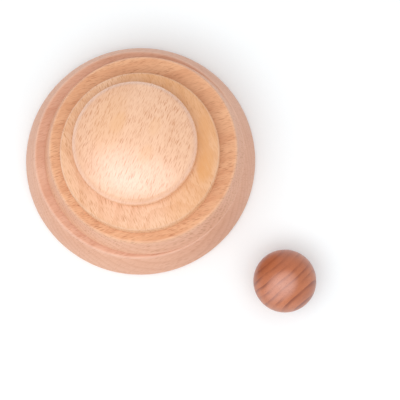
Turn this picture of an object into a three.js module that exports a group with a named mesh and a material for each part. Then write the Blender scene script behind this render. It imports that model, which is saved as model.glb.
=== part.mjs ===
// A stacking baby rattle of turned beech: three hollow cups, each turned mouth down and stood on a larger
// one, a domed rattle drum with loose beads sealed in it on top, and a loose ball of darker wood beside them.
// Millimetres, +Z up. The origin is the middle of the whole set's footprint, on the surface it stands on.
import * as THREE from "three";

// Driving sizes
const BALL_RADIUS = 22.5; // a little over the small-ball gauge for toys for the youngest children
const GAP = 0.3; // between pieces that rest on each other, and round the drum's floor
const TURN_STEPS = 40; // facets round a turned piece
const CURVE_STEPS = 4; // facets along each curve of a profile

// Each cup as it stands, mouth down: radii and heights measured from its own mouth.
const BASE_CUP = {
  rimRadius: 84,
  rimHeight: 4,
  height: 34,
  shoulder: { side: [75.2, 32.6], corner: [75, 34], crown: [73.6, 34] },
  seatRadius: 60,
  sideBulge: 1.6,
  mouthRadius: 75.6,
  cavityRadius: 67,
  roof: 5.5,
};
const MIDDLE_CUP = {
  rimRadius: 71.2,
  rimHeight: 2.6,
  height: 28,
  shoulder: { side: [65.9, 26.8], corner: [65.7, 28], crown: [64.5, 28] },
  seatRadius: 50,
  sideBulge: -0.6,
  mouthRadius: 63.8,
  cavityRadius: 57.2,
  roof: 5.2,
};
const UPPER_CUP = {
  rimRadius: 55.7,
  rimHeight: 1.6,
  height: 18,
  shoulder: { side: [55.1, 12.2], corner: [54.9, 13.1], crown: [54, 13.8] },
  brow: [49.5, 15.8], // the slope from the crown to the seat is pulled towards this
  seatRadius: 40,
  sideBulge: 0,
  mouthRadius: 48.4,
  cavityRadius: 41,
  roof: 4.6,
};
const DRUM = {
  radius: 42.9,
  footRadius: 42.3,
  height: 20,
  wallHeight: 5.2,
  edge: 3.1, // how far the bullnose comes in before the dome starts
  domeRadius: 88,
  wall: 3.6,
  floor: 3,
};
const BEAD_RADIUS = 3.5;
const BEAD_RING_RADIUS = 18;
const BEADS_IN_RING = 6;

// Where the loose pieces stand, sideways from the base cup's axis: they only rest on each other.
const MIDDLE_CUP_AT = [3.9, -1.2];
const UPPER_CUP_AT = [1.9, -4.6];
const DRUM_AT = [-1, -0.9];
const BALL_AT = [104.2, -90.2];

// Worked out from the sizes above
const MIDDLE_CUP_Z = BASE_CUP.height + GAP;
const UPPER_CUP_Z = MIDDLE_CUP_Z + MIDDLE_CUP.height + GAP;
const DRUM_Z = UPPER_CUP_Z + UPPER_CUP.height + GAP;
const TOWER_X = -(BALL_AT[0] + BALL_RADIUS - BASE_CUP.rimRadius) / 2;
const TOWER_Y = -(BALL_AT[1] - BALL_RADIUS + BASE_CUP.rimRadius) / 2;

const PALE_BEECH = { color: 0xf5cfa6, roughness: 0.5, metalness: 0 };
const YELLOW_BEECH = { color: 0xe9be8e, roughness: 0.52, metalness: 0 };
const ORANGE_BEECH = { color: 0xe2ad82, roughness: 0.54, metalness: 0 };
const PINK_BEECH = { color: 0xe0b093, roughness: 0.54, metalness: 0 };
const RED_WOOD = { color: 0xb9704c, roughness: 0.42, metalness: 0 };

function named(name, geometry, finish) {
  const mesh = new THREE.Mesh(geometry, new THREE.MeshStandardMaterial(finish));
  mesh.name = name;
  return mesh;
}

// A piece turned about +Z from its half outline, which runs over the outside from the top to the bottom.
function turned(name, outline, finish) {
  const points = outline.getPoints(CURVE_STEPS).reverse();
  const geometry = new THREE.LatheGeometry(points, TURN_STEPS);
  geometry.rotateX(Math.PI / 2);
  return named(name, geometry, finish);
}

function roundedTo(path, corner, end) {
  path.quadraticCurveTo(...corner, ...end);
}

// A cup's half outline: flat seat, shoulder, side, rounded rim, flat resting ring, then the cavity.
function cupOutline(cup) {
  const { side, corner, crown } = cup.shoulder;
  const bulged = [(side[0] + cup.rimRadius) / 2 + cup.sideBulge, (side[1] + cup.rimHeight) / 2];
  const mouthChamfer = 1;
  const ceiling = cup.height - cup.roof;
  const ceilingRound = cup.roof;
  const path = new THREE.Path();
  path.moveTo(0, cup.height);
  path.lineTo(cup.seatRadius, cup.height);
  if (cup.brow) {
    roundedTo(path, cup.brow, crown);
  } else {
    path.lineTo(...crown);
  }
  roundedTo(path, corner, side);
  roundedTo(path, bulged, [cup.rimRadius, cup.rimHeight]);
  roundedTo(path, [cup.rimRadius, 0], [cup.rimRadius - cup.rimHeight / 2, 0]);
  path.lineTo(cup.mouthRadius + mouthChamfer, 0);
  path.lineTo(cup.mouthRadius, mouthChamfer);
  path.lineTo(cup.cavityRadius, ceiling - ceilingRound);
  roundedTo(path, [cup.cavityRadius, ceiling], [cup.cavityRadius - ceilingRound, ceiling]);
  path.lineTo(0, ceiling);
  return path;
}

// The drum's shell, open below: a shallow dome, a bullnose edge, a short wall and the sounding chamber.
function drumOutline() {
  const rimIn = DRUM.radius - DRUM.edge;
  const chamberRadius = DRUM.radius - DRUM.wall;
  const insideRadius = DRUM.domeRadius - DRUM.wall;
  const domeCentre = DRUM.height - DRUM.domeRadius;
  const domeEdgeZ = domeCentre + Math.sqrt(DRUM.domeRadius ** 2 - rimIn ** 2);
  const insideEdgeZ = domeCentre + Math.sqrt(insideRadius ** 2 - chamberRadius ** 2);
  const path = new THREE.Path();
  path.moveTo(0, DRUM.height);
  const domeEnd = Math.acos(rimIn / DRUM.domeRadius);
  path.absarc(0, domeCentre, DRUM.domeRadius, Math.PI / 2, domeEnd, true);
  roundedTo(path, [DRUM.radius, domeEdgeZ - DRUM.edge], [DRUM.radius, DRUM.wallHeight]);
  path.lineTo(DRUM.footRadius, 0);
  path.lineTo(chamberRadius, 0);
  path.lineTo(chamberRadius, insideEdgeZ);
  const ceilingStart = Math.acos(chamberRadius / insideRadius);
  path.absarc(0, domeCentre, insideRadius, ceilingStart, Math.PI / 2, false);
  return path;
}

function floorOutline() {
  const radius = DRUM.radius - DRUM.wall - GAP;
  const path = new THREE.Path();
  path.moveTo(0, DRUM.floor);
  path.lineTo(radius, DRUM.floor);
  path.lineTo(radius, 0);
  path.lineTo(0, 0);
  return path;
}

function at(object, [x, y], z) {
  object.position.set(x, y, z);
  return object;
}

function rattle() {
  const drum = new THREE.Group();
  drum.add(turned("rattle_dome", drumOutline(), PALE_BEECH));
  drum.add(turned("rattle_floor", floorOutline(), PALE_BEECH));
  const beadZ = DRUM.floor + GAP + BEAD_RADIUS;
  for (let i = 0; i <= BEADS_IN_RING; i += 1) {
    const turn = (2 * Math.PI * i) / BEADS_IN_RING;
    const out = i === BEADS_IN_RING ? 0 : BEAD_RING_RADIUS;
    const bead = named(`bead_${i + 1}`, new THREE.SphereGeometry(BEAD_RADIUS, 12, 8), ORANGE_BEECH);
    drum.add(at(bead, [out * Math.cos(turn), out * Math.sin(turn)], beadZ));
  }
  return drum;
}

const tower = new THREE.Group();
tower.add(turned("base_cup", cupOutline(BASE_CUP), PINK_BEECH));
tower.add(at(turned("middle_cup", cupOutline(MIDDLE_CUP), ORANGE_BEECH), MIDDLE_CUP_AT, MIDDLE_CUP_Z));
tower.add(at(turned("upper_cup", cupOutline(UPPER_CUP), YELLOW_BEECH), UPPER_CUP_AT, UPPER_CUP_Z));
tower.add(at(rattle(), DRUM_AT, DRUM_Z));

const ball = named("ball", new THREE.SphereGeometry(BALL_RADIUS, 32, 16).rotateX(Math.PI / 2), RED_WOOD);
tower.add(at(ball, BALL_AT, BALL_RADIUS));

tower.position.set(TOWER_X, TOWER_Y, 0);
const set = new THREE.Group();
set.add(tower);
export default set;
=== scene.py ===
"""Stacking baby rattle: three turned beech cups mouth down in a tower, a domed drum of beads on top and a
loose ball of redder wood. Every turned piece is a half outline carried round its axis. Lengths are metres
in the CAD frame, and half outlines are worked out in millimetres first."""

import math

import bpy
import numpy as np
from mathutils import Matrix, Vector


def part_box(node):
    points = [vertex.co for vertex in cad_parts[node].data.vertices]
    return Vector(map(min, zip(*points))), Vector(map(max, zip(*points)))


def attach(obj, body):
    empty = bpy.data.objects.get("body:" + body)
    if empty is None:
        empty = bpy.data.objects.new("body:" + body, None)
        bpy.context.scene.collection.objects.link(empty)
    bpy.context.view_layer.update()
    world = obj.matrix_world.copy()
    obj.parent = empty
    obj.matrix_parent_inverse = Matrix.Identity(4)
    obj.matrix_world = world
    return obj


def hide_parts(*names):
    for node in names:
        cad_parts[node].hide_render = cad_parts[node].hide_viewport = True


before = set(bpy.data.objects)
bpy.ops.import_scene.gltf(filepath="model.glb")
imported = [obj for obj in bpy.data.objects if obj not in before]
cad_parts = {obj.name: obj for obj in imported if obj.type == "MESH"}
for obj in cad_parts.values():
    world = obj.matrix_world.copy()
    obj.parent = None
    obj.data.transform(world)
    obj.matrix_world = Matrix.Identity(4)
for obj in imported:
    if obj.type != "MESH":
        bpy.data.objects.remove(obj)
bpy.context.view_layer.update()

MM = 0.001
TURN_STEPS = 288  # round a turned piece
SPACING = 0.7 * MM  # along a profile
DOUBLED = 1e-7  # points closer than this are one point


# ---------------------------------------------------------------- profiles
def straight(start, end):
    """Points from start to end at even steps: start + t (end - start)."""
    start, end = np.array(start, float), np.array(end, float)
    steps = max(2, int(np.linalg.norm(end - start) * MM / SPACING))
    t = np.linspace(0, 1, steps + 1)[:, None]
    return start + t * (end - start)


def rounded(start, corner, end):
    """A curve from start to end, pulled towards corner: (1-t)^2 start + 2t(1-t) corner + t^2 end."""
    start, corner, end = (np.array(p, float) for p in (start, corner, end))
    length = np.linalg.norm(corner - start) + np.linalg.norm(end - corner)
    t = np.linspace(0, 1, max(10, int(length * MM / SPACING)) + 1)[:, None]
    return (1 - t) ** 2 * start + 2 * t * (1 - t) * corner + t**2 * end


def domed(height, radius, reach, inwards=False):
    """A circle's arc from the axis out to reach: z = height - radius + sqrt(radius^2 - r^2)."""
    r = np.linspace(0, reach, max(12, int(reach * MM / SPACING)) + 1)
    if inwards:
        r = r[::-1]
    return np.column_stack([r, height - radius + np.sqrt(radius**2 - r**2)])


def outline(*runs):
    """The runs joined end to end as one half outline in metres, with doubled points left out."""
    points = np.concatenate(runs) * MM
    kept = np.r_[True, np.linalg.norm(np.diff(points, axis=0), axis=1) > DOUBLED]
    return points[kept]


def turned(name, half_outline, foot):
    """The half outline (r, z), from the axis on top over the outside and back to the axis, carried round it:
    x = r cos a, y = r sin a, with the first and last point as single poles. foot is the axis's place."""
    a = np.linspace(0, 2 * np.pi, TURN_STEPS, endpoint=False)
    r, z = half_outline[1:-1].T
    rings = len(r)
    grid = np.empty((rings, TURN_STEPS, 3))
    grid[..., 0] = r[:, None] * np.cos(a)
    grid[..., 1] = r[:, None] * np.sin(a)
    grid[..., 2] = z[:, None]
    poles = np.array([[0, 0, half_outline[0, 1]], [0, 0, half_outline[-1, 1]]])
    vertices = np.concatenate([grid.reshape(-1, 3), poles]) + np.array(foot)

    here = np.arange(TURN_STEPS)
    after = np.roll(here, -1)
    row = np.arange(rings - 1)[:, None] * TURN_STEPS
    quads = np.stack([row + here, row + TURN_STEPS + here, row + TURN_STEPS + after, row + after], -1)
    first, last = rings * TURN_STEPS, rings * TURN_STEPS + 1
    top = np.stack([np.full(TURN_STEPS, first), here, after], -1)
    end = (rings - 1) * TURN_STEPS
    bottom = np.stack([np.full(TURN_STEPS, last), end + after, end + here], -1)
    faces = [*quads.reshape(-1, 4).tolist(), *top.tolist(), *bottom.tolist()]
    return smooth_piece(name, vertices, faces)


def smooth_piece(name, vertices, faces):
    mesh = bpy.data.meshes.new(name)
    mesh.from_pydata(vertices.tolist(), [], faces)
    mesh.polygons.foreach_set("use_smooth", np.ones(len(faces), bool))
    mesh.update()
    piece = bpy.data.objects.new(name, mesh)
    bpy.context.scene.collection.objects.link(piece)
    return piece


# ---------------------------------------------------------------- shader wiring
class Signal:
    """A number on a node's output socket. Arithmetic on it adds Math nodes."""

    def __init__(self, wiring, socket):
        self.wiring = wiring
        self.socket = socket

    def _math(self, operation, first, second=0.0):
        return self.wiring.add("ShaderNodeMath", {"operation": operation}, {0: first, 1: second})

    def __add__(self, other):
        return self._math("ADD", self, other)

    def __radd__(self, other):
        return self._math("ADD", other, self)

    def __sub__(self, other):
        return self._math("SUBTRACT", self, other)

    def __rsub__(self, other):
        return self._math("SUBTRACT", other, self)

    def __mul__(self, other):
        return self._math("MULTIPLY", self, other)

    def __rmul__(self, other):
        return self._math("MULTIPLY", other, self)

    def __truediv__(self, other):
        return self._math("DIVIDE", self, other)

    def __pow__(self, other):
        return self._math("POWER", self, other)

    def root(self):
        return self._math("SQRT", self)

    def fraction(self):
        return self._math("FRACT", self)

    def sine(self):
        return self._math("SINE", self)

    def larger(self, other):
        return self._math("MAXIMUM", self, other)

    def eased(self, low, high):
        """0 at low and 1 at high, with a smooth step between; low may be the larger."""
        span = {"From Min": low, "From Max": high}
        settings = {"interpolation_type": "SMOOTHSTEP"}
        return self.wiring.add("ShaderNodeMapRange", settings, {"Value": self, **span})


class Wiring:
    """The node tree of one material."""

    def __init__(self, name):
        self.material = bpy.data.materials.new(name)
        self.material.use_nodes = True
        self.tree = self.material.node_tree
        self.shader = self.tree.nodes["Principled BSDF"]

    def add(self, kind, settings=None, inputs=None, output=0):
        """A node of that kind with its settings, then its inputs' values or links. Gives back one output."""
        node = self.tree.nodes.new(kind)
        for key, value in (settings or {}).items():
            setattr(node, key, value)
        for key, value in (inputs or {}).items():
            self.feed(node.inputs[key], value)
        return Signal(self, node.outputs[output])

    def feed(self, socket, value):
        if isinstance(value, Signal):
            self.tree.links.new(value.socket, socket)
        else:
            socket.default_value = value

    def blend(self, factor, first, second, mode="MIX"):
        """first where factor is 0; where it is 1, second, or first times second in MULTIPLY mode. Inputs 6
        and 7 and output 2 are the Mix node's colour sockets."""
        first, second = (c if isinstance(c, Signal) else (*c, 1.0) for c in (first, second))
        settings = {"data_type": "RGBA", "blend_type": mode, "clamp_factor": True}
        return self.add("ShaderNodeMix", settings, {0: factor, 6: first, 7: second}, output=2)

    def vector(self, operation, *operands):
        return self.add("ShaderNodeVectorMath", {"operation": operation}, dict(enumerate(operands)))

    def turned_to(self, vector, location, turn):
        """The vector in a frame that stands at location, turned by turn degrees about the upright axis."""
        inputs = {"Vector": vector, "Location": location, "Rotation": (0, 0, math.radians(turn))}
        return self.add("ShaderNodeMapping", {"vector_type": "TEXTURE"}, inputs)

    def noise(self, vector, scale, detail=2.0, roughness=0.5):
        inputs = {"Vector": self.vector("MULTIPLY", vector, scale), "Scale": 1.0}
        return self.add("ShaderNodeTexNoise", {}, {**inputs, "Detail": detail, "Roughness": roughness})

    def parts(self, vector):
        return [self.add("ShaderNodeSeparateXYZ", {}, {0: vector}, output=i) for i in range(3)]

    def finish(self, colour, roughness, height, depth, sheen=1.0):
        bump = self.add("ShaderNodeBump", {}, {"Strength": 1.0, "Distance": depth, "Height": height})
        self.feed(self.shader.inputs["Base Color"], colour)
        self.feed(self.shader.inputs["Roughness"], roughness)
        self.feed(self.shader.inputs["Normal"], bump)
        self.shader.inputs["Specular IOR Level"].default_value = sheen
        return self.material


# ---------------------------------------------------------------- wood
# Noise scales: waves to the metre along, across and into the grain.
RING_WAVER = (8.0, 30.0, 30.0)
BEECH_TONE = (12.0, 34.0, 34.0)
BEECH_STREAKS = (60.0, 900.0, 500.0)
BEECH_FIBRES = (130.0, 1500.0, 800.0)
RAY_PATCHES = (30.0, 45.0, 45.0)
MARK_BREAKS = (500.0, 900.0, 900.0)
RED_TONE = (30.0, 80.0, 80.0)
RED_STREAKS = (90.0, 1400.0, 1400.0)
LATE_WOOD_PATCHES = (20.0, 120.0, 120.0)

# Lengths, widths and depths of the little cells that each hold one fleck
FINE_RAY = (5.0 * MM, 0.64 * MM, 7 * MM)
LONG_RAY = (10 * MM, 1.4 * MM, 10 * MM)
PORE = (2.6 * MM, 0.5 * MM, 3 * MM)

WAVER = 1.6  # ring spacings that the growth rings stray by
LATHE_PITCH = 0.9 * MM
FACE_FADE = (6 * MM, 1 * MM)  # below a piece's top, where its side gives way to its face
OIL_TINT = (1.0, 0.72, 0.92, 1)
OIL_IOR = 1.7

# Colour of the pale rims: partly wear on the edges, partly a painted highlight where the rims catch the
# light
WORN_AND_LIT_RIM = (0.88, 0.60, 0.46)
RED_LIGHT = (0.52, 0.165, 0.068)
RED_DARK = (0.40, 0.115, 0.045)
RED_LATE = (0.26, 0.062, 0.025)
# Painted shade colour for the ball's north part, away from the lamps
RED_PAINTED_SHADE = (0.43, 0.115, 0.042)
# Painted highlight colour for the ball's south-west side
RED_PAINTED_HIGHLIGHT = (0.80, 0.47, 0.40)
# Painted shade colour for the ball's lower part
RED_PAINTED_UNDERSHADE = (0.36, 0.10, 0.040)
RED_PORES = (0.26, 0.062, 0.026)
# Painted shade: a darker patch over the ball's north part, away from the lamps
NORTH_SHADE_MARK = (2, 15, 0, 30, 13)  # x, y, turn, half length, half width
# Painted highlight: a paler patch on the ball's south-west side, where the lamps' highlight falls
PAINTED_HIGHLIGHT_MARK = (-3.5, -5.5, 40, 15, 11)


def flecks(w, block, cell, reach, seed):
    """Spindle-shaped rays: cells of the given size along, across and into the grain, dark within reach of
    each cell's own point."""
    scaled = w.vector("MULTIPLY", block, tuple(1 / side for side in cell))
    cells = w.vector("ADD", scaled, (seed, 0.37 * seed, 0.71 * seed))
    inputs = {"Vector": cells, "Scale": 1.0, "Randomness": 1.0}
    distance = w.add("ShaderNodeTexVoronoi", {"feature": "F1"}, inputs)
    return distance.eased(reach, reach * 0.45)


def growth_rings(w, block, pith, spacing):
    """Rings round the pith, which runs along the grain: distance from it over the spacing, wavering with a
    slow noise. Gives the place in the ring, from 0 at its early wood to 1 at its late wood."""
    _, across, up = w.parts(block)
    beside = across - pith[0]
    below = up - pith[1]
    distance = (beside * beside + below * below).root()
    slow = w.noise(block, RING_WAVER)
    return (distance / spacing + (slow - 0.5) * WAVER).fraction()


def mark(w, place, spot):
    """A soft long spot on a piece: 1 in the middle of an ellipse, 0 outside it. spot is x, y, turn, half
    length and half width, in millimetres and degrees."""
    x, y, turn, half_length, half_width = spot
    along, across, _ = w.parts(w.turned_to(place, (x * MM, y * MM, 0), turn))
    along = along / (half_length * MM)
    across = across / (half_width * MM)
    return (along * along + across * across).eased(1.0, 0.15)


def grain_frame(w, origin, grain, swirl_scale, swirl_shift):
    """The place measured from origin, the same turned to lie along the grain, a slow swirl, and the turned
    place moved by that swirl, which the figure of the wood is read from."""
    place = w.add("ShaderNodeTexCoord", output="Object")
    from_origin = w.vector("SUBTRACT", place, origin)
    level = w.turned_to(from_origin, (0, 0, 0), grain)
    inputs = {"Vector": level, "Scale": swirl_scale, "Detail": 1.0}
    swirl = w.add("ShaderNodeTexNoise", {}, inputs, output="Color")
    return from_origin, level, swirl, w.vector("MULTIPLY_ADD", swirl, swirl_shift, level)


def beech(
    name, foot, grain, light, dark, fleck, seed, pith, ring_spacing, ring_strength,
    worn_and_lit_rims=(), dark_marks=(), warm_marks=(), warm=(0.80, 0.42, 0.17),
    roughness=0.42, coat=0.0, sheen=0.35, top=0.0, side=None,
):
    """Oiled beech, its grain level at the angle grain.

    light and dark are its two tones, and fleck the colour of its rays. pith is where the rings' middle lies,
    in metres across the grain and above the foot. edges are pale rims, partly wear and partly a painted
    highlight: radius, height, half width and strength. Marks are spots as in mark() with a strength added:
    dark ones take the colour fleck, warm ones the colour warm. side tints and darkens what lies below the
    face that ends at the height top, a painted shade on the side walls; with top 0 the whole piece is face.
    roughness, coat and sheen are the oil's. Rims, marks and top are in millimetres from the foot."""
    w = Wiring(name)
    from_foot, level, swirl, block = grain_frame(w, foot, grain, 14.0, (0.002, 0.0024, 0.0024))

    broad = w.noise(block, BEECH_TONE)
    streak = w.noise(block, BEECH_STREAKS, roughness=0.6)
    ring = growth_rings(w, block, pith, ring_spacing)
    late = ring.eased(0.35, 0.95) * ring.eased(1.0, 0.97)
    tone = broad.eased(0.3, 0.72) * 0.55 + streak * 0.45 + late * ring_strength - 0.22
    colour = w.blend(tone, light, dark)

    fine = flecks(w, block, FINE_RAY, 0.46, seed)
    long_ones = flecks(w, block, LONG_RAY, 0.30, seed + 11.3)
    fibre = w.noise(block, BEECH_FIBRES, roughness=0.6).eased(0.46, 0.68)
    patchy = w.noise(level, RAY_PATCHES, detail=1.0).eased(0.3, 0.7)
    rays = (fine * (0.38 + 0.34 * patchy)).larger(long_ones * (0.58 + 0.42 * patchy))
    rays = rays.larger(fibre * 0.26)
    x, y, z = w.parts(from_foot)
    face = z.eased(top * MM - FACE_FADE[0], top * MM - FACE_FADE[1])
    rays = rays * (0.7 + 0.3 * face)
    # Painted shade: the walls below the top face are multiplied by side, darker and tinted as if in shade
    if side:
        colour = w.blend(1.0 - face, colour, side, mode="MULTIPLY")
    colour = w.blend(rays, colour, fleck)

    for *spot, strength in warm_marks:
        patch = mark(w, from_foot, spot)
        colour = w.blend(patch * (streak * 1.1 + 0.45) * strength, colour, warm)
    for *spot, strength in dark_marks:
        broken = w.noise(level, MARK_BREAKS, detail=1.0).eased(0.35, 0.6)
        patch = mark(w, from_foot, spot)
        colour = w.blend(patch * (broken * 0.5 + 0.5) * strength, colour, fleck)

    radius = (x * x + y * y).root()
    # Pale rims: partly wear, partly a painted highlight where the rounded edges catch the light
    for edge_radius, edge_height, half_width, strength in worn_and_lit_rims:
        out = (radius - edge_radius * MM) / (half_width * MM)
        up = (z - edge_height * MM) / (half_width * MM)
        colour = w.blend((out ** 2 + up ** 2).eased(1.0, 0.1) * strength, colour, WORN_AND_LIT_RIM)

    lathe_lines = ((radius + z) * (2 * math.pi / LATHE_PITCH) + swirl * 3.0).sine()
    height = lathe_lines * 0.04 - rays * 0.6 - streak * 0.25
    polish = roughness + (streak - 0.5) * 0.12 + rays * 0.12
    w.shader.inputs["Coat Weight"].default_value = coat
    w.shader.inputs["Coat IOR"].default_value = OIL_IOR
    w.shader.inputs["Specular Tint"].default_value = OIL_TINT
    w.shader.inputs["Coat Roughness"].default_value = roughness
    return w.finish(colour, polish, height, 0.06 * MM, sheen)


def red_wood(name, centre, grain):
    """Dense red-brown wood with clear late-wood stripes along the level angle grain."""
    w = Wiring(name)
    from_centre, _, _, block = grain_frame(w, centre, grain, 22.0, (0.004, 0.005, 0.005))
    ring = growth_rings(w, block, (-0.40, 0.0), 5.4 * MM)
    late = ring.eased(0.45, 0.93) * ring.eased(1.0, 0.965)
    streak = w.noise(block, RED_STREAKS, detail=3.0, roughness=0.65)
    broad = w.noise(block, RED_TONE)
    colour = w.blend(broad.eased(0.3, 0.7), RED_LIGHT, RED_DARK)
    patchy = 0.25 + 0.75 * w.noise(block, LATE_WOOD_PATCHES).eased(0.35, 0.6)
    colour = w.blend(late * patchy + (streak - 0.5) * 0.6, colour, RED_LATE)
    # Painted shade over the ball's north part, away from the lamps
    colour = w.blend(mark(w, from_centre, NORTH_SHADE_MARK) * 0.5, colour, RED_PAINTED_SHADE)
    # Painted highlight on the ball's south-west side
    colour = w.blend(mark(w, from_centre, PAINTED_HIGHLIGHT_MARK) * 0.34, colour, RED_PAINTED_HIGHLIGHT)
    # Painted shade: the ball darkens towards its bottom, from 12 mm above its middle down
    _, _, height_up = w.parts(from_centre)
    colour = w.blend(height_up.eased(12 * MM, -2 * MM) * 0.35, colour, RED_PAINTED_UNDERSHADE)
    pores = flecks(w, block, PORE, 0.36, 4.2)
    colour = w.blend(pores * 0.3, colour, RED_PORES)
    polish = 0.42 + streak * 0.10
    w.shader.inputs["Coat Weight"].default_value = 0.45
    w.shader.inputs["Coat Roughness"].default_value = 0.3
    return w.finish(colour, polish, pores * -0.5 - streak * 0.3, 0.05 * MM, 0.4)


def pale_floor():
    w = Wiring("pale_floor")
    w.shader.inputs["Base Color"].default_value = (0.935, 0.975, 0.995, 1)
    w.shader.inputs["Roughness"].default_value = 0.9
    w.shader.inputs["Specular IOR Level"].default_value = 0.0
    return w.material


# ---------------------------------------------------------------- where each piece stands
def foot_of(node):
    """The middle of a node's footprint."""
    low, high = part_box(node)
    return Vector(((low.x + high.x) / 2, (low.y + high.y) / 2, low.z))


def middle_of(node):
    low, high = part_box(node)
    return (low + high) / 2


BASE_AT = foot_of("base_cup")
MIDDLE_AT = foot_of("middle_cup")
UPPER_AT = foot_of("upper_cup")
DRUM_AT = foot_of("rattle_dome")
BALL_AT = foot_of("ball")


def foot_and_hollow(rim, rim_height, mouth, cavity, ceiling, roof):
    """The runs of a cup from its rim inwards: rounded rim, flat resting ring, rounded mouth, straight cavity
    wall and a rounded ceiling."""
    rim_in = rim - rim_height / 2
    eased = 1.0
    return [
        rounded((rim, rim_height), (rim, 0), (rim_in, 0)),
        straight((rim_in, 0), (mouth + eased, 0)),
        rounded((mouth + eased, 0), (mouth, 0), (mouth - 0.1, eased)),
        straight((mouth - 0.1, eased), (cavity, ceiling - roof)),
        rounded((cavity, ceiling - roof), (cavity, ceiling), (cavity - roof, ceiling)),
        straight((cavity - roof, ceiling), (0, ceiling)),
    ]


def cup_outline(rim, rim_height, height, side, corner, crown, bulge, mouth, cavity, roof):
    """A cup mouth down, in millimetres from its mouth: flat seat, shoulder, bulged side, then its foot and
    hollow."""
    bulged = ((side[0] + rim) / 2 + bulge, (side[1] + rim_height) / 2)
    return outline(
        straight((0, height), (crown[0] * 0.8, height)),
        straight((crown[0] * 0.8, height), crown),
        rounded(crown, corner, side),
        rounded(side, bulged, (rim, rim_height)),
        *foot_and_hollow(rim, rim_height, mouth, cavity, height - roof, roof),
    )


def base_cup():
    half = cup_outline(
        rim=84, rim_height=4, height=34, bulge=1.6,
        side=(75.2, 32.6), corner=(75, 34), crown=(73.6, 34),
        mouth=75.6, cavity=67, roof=5.5,
    )
    return turned("base_cup_turned", half, BASE_AT)


def middle_cup():
    half = cup_outline(
        rim=71.2, rim_height=2.6, height=28, bulge=-0.6,
        side=(65.9, 26.8), corner=(65.7, 28), crown=(64.5, 28),
        mouth=63.8, cavity=57.2, roof=5.2,
    )
    return turned("middle_cup_turned", half, MIDDLE_AT)


def upper_cup():
    """Like the other cups, with a broad shoulder that slopes from its crown up to the seat."""
    seat, brow = 40, (49.5, 15.8)
    side, corner, crown = (55.1, 12.2), (54.9, 13.1), (54, 13.8)
    rim, rim_height, height, mouth, cavity, roof = 55.7, 1.6, 18, 48.4, 41, 4.6
    half = outline(
        straight((0, height), (seat, height)),
        rounded((seat, height), brow, crown),
        rounded(crown, corner, side),
        straight(side, (rim, rim_height)),
        *foot_and_hollow(rim, rim_height, mouth, cavity, height - roof, roof),
    )
    return turned("upper_cup_turned", half, UPPER_AT)


# The drum's sizes, in millimetres
DOME_RADIUS = 88
DRUM_RADIUS = 42.9
DRUM_HEIGHT = 20
DRUM_WALL = 3.6
FLOOR_GAP = 0.3  # between the drum's floor and its wall


def rattle_dome():
    """The drum's shell: shallow dome, bullnose edge, short wall, open foot and the chamber's ceiling."""
    edge = 3.1
    dome_reach = DRUM_RADIUS - edge
    edge_z = DRUM_HEIGHT - DOME_RADIUS + math.sqrt(DOME_RADIUS**2 - dome_reach**2)
    chamber = DRUM_RADIUS - DRUM_WALL
    inside = DOME_RADIUS - DRUM_WALL
    ceiling_edge_z = DRUM_HEIGHT - DOME_RADIUS + math.sqrt(inside**2 - chamber**2)
    return turned(
        "rattle_dome_turned",
        outline(
            domed(DRUM_HEIGHT, DOME_RADIUS, dome_reach),
            rounded((dome_reach, edge_z), (DRUM_RADIUS, edge_z - edge), (DRUM_RADIUS, 5.2)),
            rounded((DRUM_RADIUS, 5.2), (DRUM_RADIUS, 1), (DRUM_RADIUS - 0.6, 0.4)),
            rounded((DRUM_RADIUS - 0.6, 0.4), (DRUM_RADIUS - 0.7, 0), (DRUM_RADIUS - 1.2, 0)),
            straight((DRUM_RADIUS - 1.2, 0), (chamber, 0)),
            straight((chamber, 0), (chamber, ceiling_edge_z)),
            domed(DRUM_HEIGHT - DRUM_WALL, inside, chamber, inwards=True),
        ),
        DRUM_AT,
    )


def rattle_floor():
    radius, thickness, eased = DRUM_RADIUS - DRUM_WALL - FLOOR_GAP, 3, 0.4
    return turned(
        "rattle_floor_turned",
        outline(
            straight((0, thickness), (radius - eased, thickness)),
            rounded((radius - eased, thickness), (radius, thickness), (radius, thickness - eased)),
            straight((radius, thickness - eased), (radius, eased)),
            rounded((radius, eased), (radius, 0), (radius - eased, 0)),
            straight((radius - eased, 0), (0, 0)),
        ),
        foot_of("rattle_floor"),
    )


def turned_ball(name, node):
    """A ball the size of its node: r = R sin t, z = R - R cos t, from the top pole to the bottom one."""
    low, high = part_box(node)
    radius = (high.z - low.z) / 2
    t = np.linspace(np.pi, 0, max(24, int(np.pi * radius / SPACING)))
    half = np.column_stack([radius * np.sin(t), radius - radius * np.cos(t)])
    return turned(name, half, foot_of(node))


def place(piece, body, slot, material, *nodes):
    piece.data.materials.append(material)
    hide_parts(*nodes)
    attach(piece, body)


# In these woods the pale rims are partly wear and partly painted highlight, and side is a painted shade on
# the walls below each top face
PINK_BEECH = beech(
    "pink_beech", BASE_AT, grain=20,
    light=(0.765, 0.44, 0.298), dark=(0.675, 0.35, 0.222), fleck=(0.59, 0.28, 0.17),
    seed=3.1, pith=(0.03, -0.08), ring_spacing=5 * MM, ring_strength=0.5,
    worn_and_lit_rims=[(75, 33.8, 1.8, 0.35)],
    top=34, side=(0.96, 0.93, 0.89),
)
ORANGE_BEECH = beech(
    "orange_beech", MIDDLE_AT, grain=16,
    light=(0.805, 0.465, 0.265), dark=(0.70, 0.355, 0.188), fleck=(0.51, 0.22, 0.105),
    seed=7.7, pith=(0.02, -0.06), ring_spacing=4.5 * MM, ring_strength=0.5,
    worn_and_lit_rims=[(65.6, 27.8, 1.6, 0.2)],
    dark_marks=[(20, -60.3, 15, 3, 0.9, 0.9)],
    top=28, side=(0.955, 0.91, 1.0),
)
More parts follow.
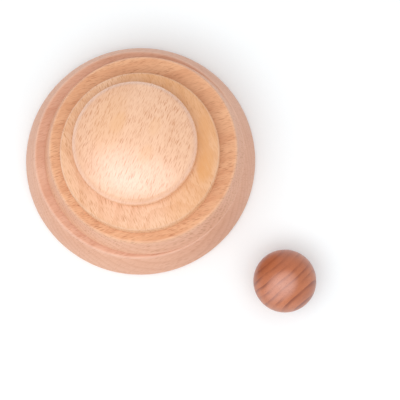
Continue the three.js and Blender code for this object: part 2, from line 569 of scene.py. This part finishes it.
YELLOW_BEECH = beech(
    "yellow_beech", UPPER_AT, grain=112,
    light=(0.83, 0.515, 0.318), dark=(0.75, 0.42, 0.235), fleck=(0.56, 0.26, 0.11),
    seed=12.9, pith=(0.0, -0.045), ring_spacing=4.2 * MM, ring_strength=0.6,
    worn_and_lit_rims=[(54.8, 13.2, 1.4, 0.12)],
    dark_marks=[(21.6, -38, 90, 3.2, 0.6, 0.8)],
    warm=(0.73, 0.36, 0.135),
    warm_marks=[
        (45.5, -11, 76, 15, 6.5, 0.75),
        (42.5, -13.5, 40, 4, 2, 0.8),
        (43, 4, 85, 26, 6, 0.6),
        (38, 38, -45, 75, 45, 0.45),
        (36, -30, 50, 30, 14, 0.40),
    ],
    roughness=0.38, coat=0.1, sheen=0.45,
)
PALE_BEECH = beech(
    "pale_beech", DRUM_AT, grain=69,
    light=(0.90, 0.575, 0.365), dark=(0.80, 0.46, 0.26), fleck=(0.58, 0.245, 0.09),
    seed=21.4, pith=(0.02, -0.2), ring_spacing=9 * MM, ring_strength=0.25,
    dark_marks=[
        (-18.8, 21.9, 70, 17, 0.35, 0.75),
        (-28.6, -9.9, 87.7, 16, 0.35, 0.75),
        (40.6, -15.5, 65, 3, 0.6, 0.8),
    ],
    warm=(0.82, 0.45, 0.20),
    warm_marks=[
        (-17, 12, 75, 30, 14, 0.30),
        (-11, 12, 60, 10, 6, 0.5),
        (14, 9, 70, 9, 5, 0.3),
        (8, -10, 60, 9, 6, 0.35),
    ],
    roughness=0.3, coat=0.6, sheen=1.0,
    top=13.5, side=(0.94, 0.88, 0.86),
)
BEAD_WOOD = beech(
    "bead_wood", foot_of("bead_7"), grain=40,
    light=(0.80, 0.50, 0.32), dark=(0.66, 0.37, 0.20), fleck=(0.42, 0.18, 0.08),
    seed=31.0, pith=(0.0, -0.1), ring_spacing=4 * MM, ring_strength=0.3,
    roughness=0.55,
)
RED_WOOD = red_wood("red_wood", middle_of("ball"), grain=42)

place(base_cup(), "base", "pink_beech", PINK_BEECH, "base_cup")
place(middle_cup(), "middle", "orange_beech", ORANGE_BEECH, "middle_cup")
place(upper_cup(), "upper", "yellow_beech", YELLOW_BEECH, "upper_cup")
place(rattle_dome(), "rattle", "pale_beech", PALE_BEECH, "rattle_dome")
place(rattle_floor(), "rattle", "pale_beech", PALE_BEECH, "rattle_floor")
place(turned_ball("ball_turned", "ball"), "loose_ball", "red_wood", RED_WOOD, "ball")
for bead in sorted(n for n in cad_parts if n.startswith("bead_")):
    place(turned_ball(f"{bead}_turned", bead), f"loose_{bead}", "bead_wood", BEAD_WOOD, bead)


# ---------------------------------------------------------------- floor, light and camera
FLOOR_DROP = 0.1 * MM  # keeps the floor just clear of what stands on it


def floor():
    """A level square of four corners, size across."""
    size = 12.0
    corners = np.array([[-1, -1, 0], [1, -1, 0], [1, 1, 0], [-1, 1, 0]]) * size / 2 - (0, 0, FLOOR_DROP)
    sheet = smooth_piece("floor", corners, [[0, 1, 2, 3]])
    sheet.data.materials.append(pale_floor())


def soft_box(name, target, towards, lean, distance, width, depth, power):
    """A wide lamp aimed at target from the level direction towards, leaning from straight above by lean."""
    data = bpy.data.lights.new(name, "AREA")
    data.shape = "RECTANGLE"
    data.size = width
    data.size_y = depth
    data.energy = power
    lamp = bpy.data.objects.new(name, data)
    bpy.context.scene.collection.objects.link(lamp)
    heading, tilt = math.radians(towards), math.radians(lean)
    out = Vector((math.cos(heading) * math.sin(tilt), math.sin(heading) * math.sin(tilt), math.cos(tilt)))
    lamp.location = target + out * distance
    lamp.rotation_euler = out.to_track_quat("Z", "Y").to_euler()


def room_light(strength):
    world = bpy.data.worlds.new("white_room")
    world.use_nodes = True
    world.node_tree.nodes["Background"].inputs["Color"].default_value = (1, 1, 1, 1)
    world.node_tree.nodes["Background"].inputs["Strength"].default_value = strength
    bpy.context.scene.world = world


def camera(target, tilt, distance, lens):
    """Looks down on target from its -Y side, tilt degrees off straight down."""
    data = bpy.data.cameras.new("camera")
    data.lens = lens
    data.sensor_width = 36
    lean = math.radians(tilt)
    view = bpy.data.objects.new("camera", data)
    view.location = target + Vector((0, -math.sin(lean), math.cos(lean))) * distance
    view.rotation_euler = (lean, 0, 0)
    bpy.context.scene.collection.objects.link(view)
    bpy.context.scene.camera = view


AIM = BASE_AT + Vector((43.55, -28.8, 0)) * MM
floor()
soft_box("key", AIM, towards=-108, lean=21, distance=1.2, width=1.8, depth=0.75, power=6.5)
soft_box("accent", AIM, towards=-114, lean=31, distance=1.2, width=0.6, depth=0.35, power=1.15)
room_light(strength=0.77)
camera(AIM, tilt=7.5, distance=1.2, lens=147.2)
bpy.context.scene.view_settings.view_transform = "Standard"
